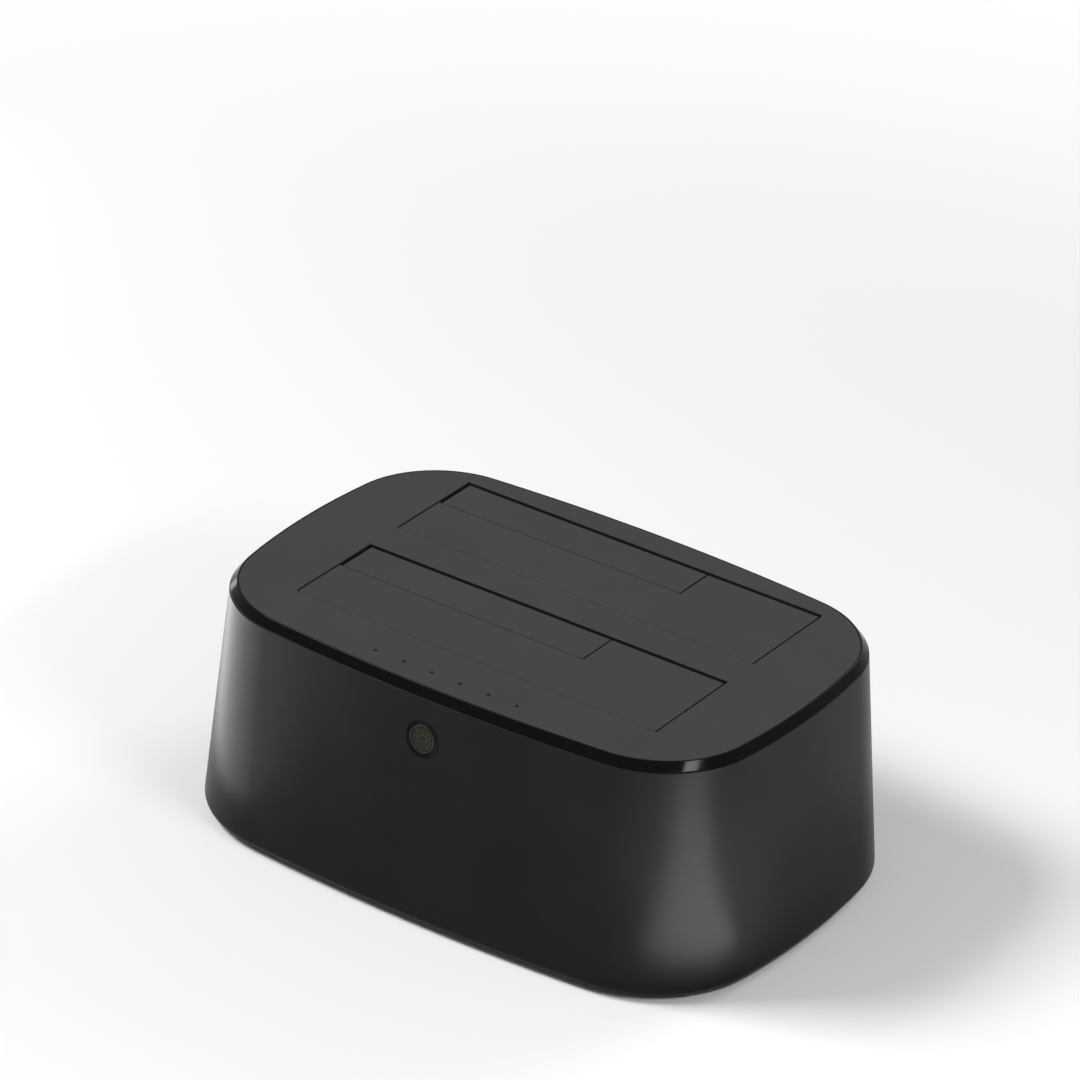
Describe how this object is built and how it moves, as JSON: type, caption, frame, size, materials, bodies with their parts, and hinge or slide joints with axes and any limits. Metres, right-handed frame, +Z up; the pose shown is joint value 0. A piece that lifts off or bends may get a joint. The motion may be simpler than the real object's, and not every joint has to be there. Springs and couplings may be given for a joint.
{
  "type": "hard drive docking station",
  "caption": "Desktop docking station with a bowed black housing, sprung dust flaps over its drive bays, a front button, an indicator row and rear data, power and switch sockets.",
  "frame": {"origin": "on the table under the middle of the housing", "axes": "+X to the right along the front, +Y from the front button to the rear sockets, +Z up"},
  "size_m": [0.158, 0.1078, 0.061],
  "materials": {
    "housing_shell": "fine moulded grain",
    "polished_rim": "polished",
    "button_face": "satin",
    "rocker": "polished",
    "deck": "fine moulded grain",
    "underside": "moulded",
    "feet": "matte",
    "liner": "moulded",
    "flap": "fine moulded grain",
    "screws": "zinc plated",
    "pins": "drawn",
    "spring_wire": "drawn wire",
    "boards": "solder mask",
    "chips": "moulded epoxy",
    "coils": "pressed ferrite",
    "crystal_can": "drawn can",
    "capacitor_can": "drawn can",
    "connector_plastic": "moulded",
    "contacts": "gold plated",
    "socket_shell": "folded sheet",
    "tongue": "moulded",
    "plunger": "moulded",
    "led_lens": "clear resin",
    "guide": "clear moulded",
    "ribbon": "flat insulation",
    "header": "moulded"
  },
  "bodies": {
    "chassis": {"housing": "housing_shell", "gloss_rim": "polished_rim", "top_deck": "deck", "base_plate": "underside", "rubber_feet": "feet", "base_screws": "screws", "front_bay_liner": "liner", "rear_bay_liner": "liner", "liner_screws": "screws", "front_flap_pin": "pins", "rear_flap_pin": "pins", "front_flap_springs": "spring_wire", "rear_flap_springs": "spring_wire", "main_board": "boards", "board_screws": "screws", "bridge_chip": "chips", "memory_chip": "chips", "crystal": "crystal_can", "power_inductors": "coils", "capacitors": "capacitor_can", "front_sata_socket": "connector_plastic", "rear_sata_socket": "connector_plastic", "front_sata_contacts": "contacts", "rear_sata_contacts": "contacts", "usb_socket": "socket_shell", "usb_tongue": "tongue", "dc_jack": "connector_plastic", "dc_jack_pin": "pins", "switch_body": "connector_plastic", "front_board": "boards", "front_board_screws": "screws", "tact_switch": "connector_plastic", "button_bezel": "polished_rim", "indicator_leds": "led_lens", "light_guide": "guide", "ribbon_cable": "ribbon", "ribbon_headers": "header"},
    "front_flap": {"front_flap": "flap", "front_small_pin": "pins", "front_small_spring": "spring_wire"},
    "rear_flap": {"rear_flap": "flap", "rear_small_pin": "pins", "rear_small_spring": "spring_wire"},
    "front_small_flap": {"front_small_flap": "flap"},
    "rear_small_flap": {"rear_small_flap": "flap"},
    "clone_button": {"clone_button": "button_face", "tact_plunger": "plunger"},
    "power_rocker": {"switch_rocker": "rocker"}
  },
  "joints": [
    {"name": "front_flap_hinge", "type": "hinge", "parent": "chassis", "child": "front_flap", "pos_m": [0, -0.03169, 0.0567], "axis": [1, 0, 0], "range_deg": [-90, 0], "stiffness_Nm_per_rad": 0.004, "springref_deg": 57.3, "deforming": ["front_flap_springs"]},
    {"name": "rear_flap_hinge", "type": "hinge", "parent": "chassis", "child": "rear_flap", "pos_m": [0, 0.00851, 0.0567], "axis": [1, 0, 0], "range_deg": [-90, 0], "stiffness_Nm_per_rad": 0.004, "springref_deg": 57.3, "deforming": ["rear_flap_springs"]},
    {"name": "front_small_flap_hinge", "type": "hinge", "parent": "front_flap", "child": "front_small_flap", "pos_m": [0, -0.01479, 0.058], "axis": [-1, 0, 0], "range_deg": [0, 80], "stiffness_Nm_per_rad": 0.0008, "springref_deg": -57.3, "deforming": ["front_small_spring"]},
    {"name": "rear_small_flap_hinge", "type": "hinge", "parent": "rear_flap", "child": "rear_small_flap", "pos_m": [0, 0.02541, 0.058], "axis": [-1, 0, 0], "range_deg": [0, 80], "stiffness_Nm_per_rad": 0.0008, "springref_deg": -57.3, "deforming": ["rear_small_spring"]},
    {"name": "clone_button_press", "type": "slide", "parent": "chassis", "child": "clone_button", "axis": [0, 1, 0], "range_m": [0, 0.0005], "stiffness_N_per_m": 1500, "springref_m": -0.0004},
    {"name": "power_rocker_tilt", "type": "hinge", "parent": "chassis", "child": "power_rocker", "pos_m": [-0.03, 0.04797, 0.01362], "axis": [1, 0, 0], "range_deg": [0, 14]}
  ]
}
